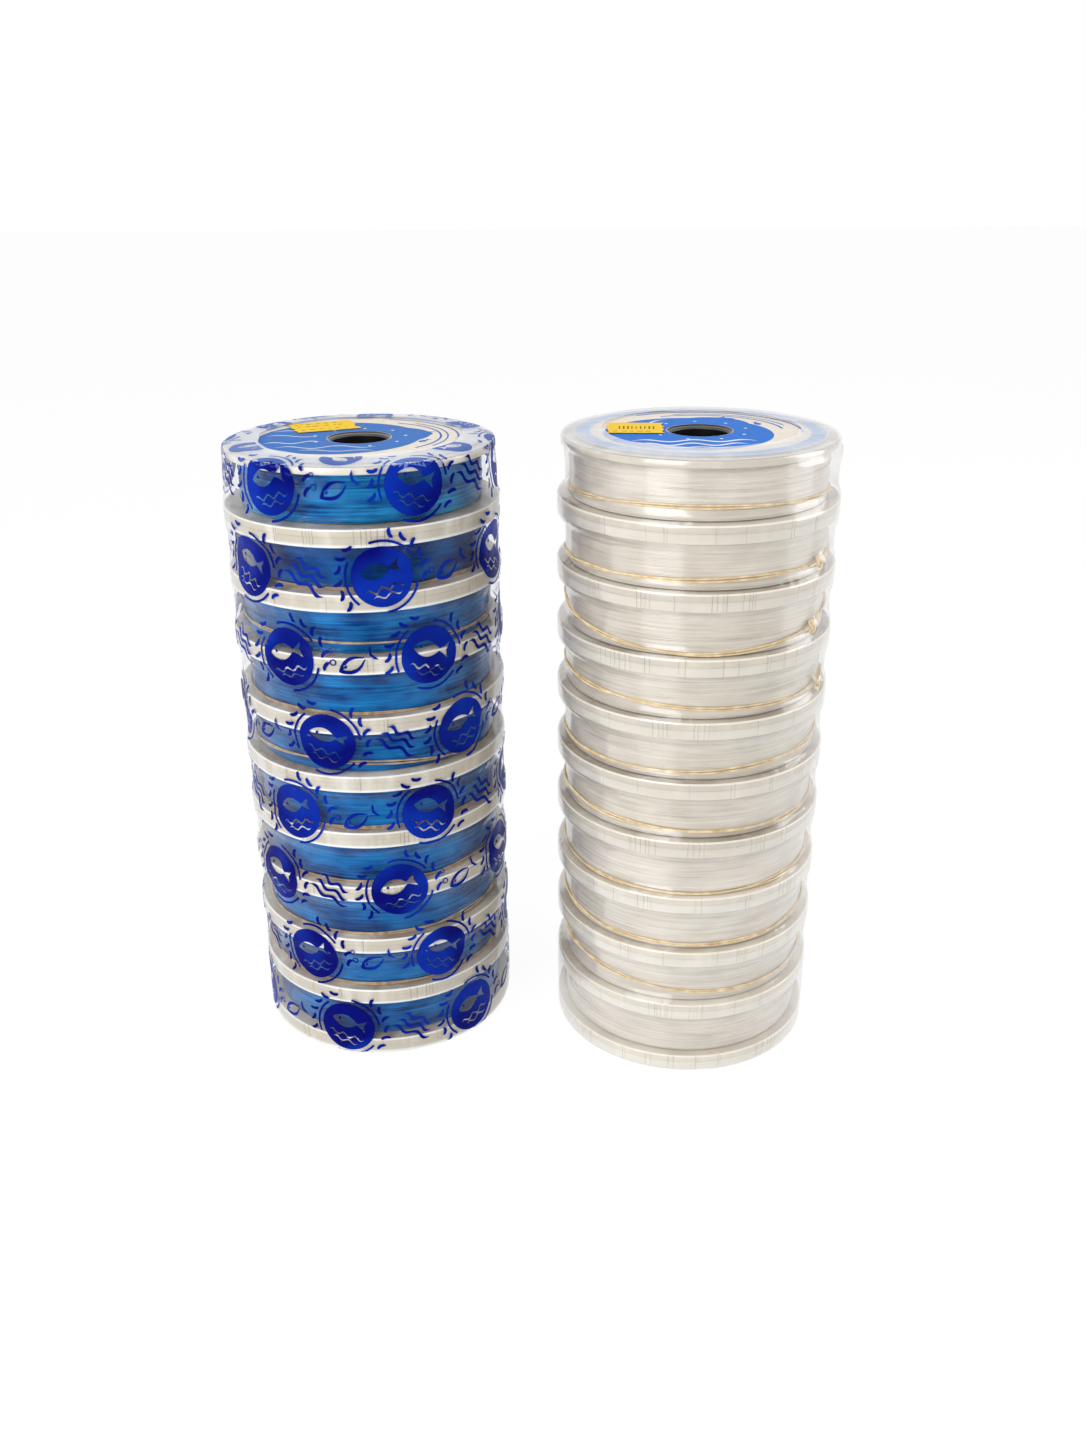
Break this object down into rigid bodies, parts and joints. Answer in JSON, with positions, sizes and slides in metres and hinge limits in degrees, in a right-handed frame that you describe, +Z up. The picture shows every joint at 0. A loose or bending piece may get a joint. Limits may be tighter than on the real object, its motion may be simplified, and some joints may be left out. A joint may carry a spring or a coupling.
{
  "type": "fishing line spool",
  "caption": "Stacked flanged spools wound with nylon fishing line, nested rim to rim and held in shrink film, with a bore through each stack.",
  "frame": {"origin": "middle between the two stacks, on the surface they stand on", "axes": "+Z up along both bores, X from the blue stack to the clear stack, -Y to the front"},
  "size_m": [0.2008, 0.0992, 0.2142],
  "materials": {
    "blue_spool_moulding": "ivory moulded plastic, satin",
    "clear_spool_moulding": "translucent ivory moulded plastic",
    "blue_nylon_line": "blue monofilament, satin sheen across the turns",
    "clear_nylon_line": "clear monofilament, pearly in bulk",
    "printed_film": null,
    "plain_film": "clear shrink film",
    "blue_label_paper": "printed paper disc under film",
    "clear_label_paper": "printed paper disc under film",
    "sticker_paper": "yellow sticker with rows of dots",
    "band_rubber": "thin tan rubber band"
  },
  "bodies": {
    "root": {"blue_spool_01": "blue_spool_moulding", "blue_line_01": "blue_nylon_line", "blue_spool_02": "blue_spool_moulding", "blue_line_02": "blue_nylon_line", "blue_spool_03": "blue_spool_moulding", "blue_line_03": "blue_nylon_line", "blue_spool_04": "blue_spool_moulding", "blue_line_04": "blue_nylon_line", "blue_spool_05": "blue_spool_moulding", "blue_line_05": "blue_nylon_line", "blue_spool_06": "blue_spool_moulding", "blue_line_06": "blue_nylon_line", "blue_spool_07": "blue_spool_moulding", "blue_line_07": "blue_nylon_line", "blue_spool_08": "blue_spool_moulding", "blue_line_08": "blue_nylon_line", "blue_spool_09": "blue_spool_moulding", "blue_line_09": "blue_nylon_line", "blue_spool_10": "blue_spool_moulding", "blue_line_10": "blue_nylon_line", "blue_line_turns": "blue_nylon_line", "blue_film": "printed_film", "blue_label": "blue_label_paper", "blue_sticker": "sticker_paper", "clear_spool_01": "clear_spool_moulding", "clear_line_01": "clear_nylon_line", "clear_band_01": "band_rubber", "clear_spool_02": "clear_spool_moulding", "clear_line_02": "clear_nylon_line", "clear_band_02": "band_rubber", "clear_spool_03": "clear_spool_moulding", "clear_line_03": "clear_nylon_line", "clear_band_03": "band_rubber", "clear_spool_04": "clear_spool_moulding", "clear_line_04": "clear_nylon_line", "clear_band_04": "band_rubber", "clear_spool_05": "clear_spool_moulding", "clear_line_05": "clear_nylon_line", "clear_band_05": "band_rubber", "clear_spool_06": "clear_spool_moulding", "clear_line_06": "clear_nylon_line", "clear_band_06": "band_rubber", "clear_spool_07": "clear_spool_moulding", "clear_line_07": "clear_nylon_line", "clear_band_07": "band_rubber", "clear_spool_08": "clear_spool_moulding", "clear_line_08": "clear_nylon_line", "clear_band_08": "band_rubber", "clear_spool_09": "clear_spool_moulding", "clear_line_09": "clear_nylon_line", "clear_band_09": "band_rubber", "clear_spool_10": "clear_spool_moulding", "clear_line_10": "clear_nylon_line", "clear_line_turns": "clear_nylon_line", "clear_film": "plain_film", "clear_label": "clear_label_paper", "clear_sticker": "sticker_paper"}
  },
  "joints": []
}
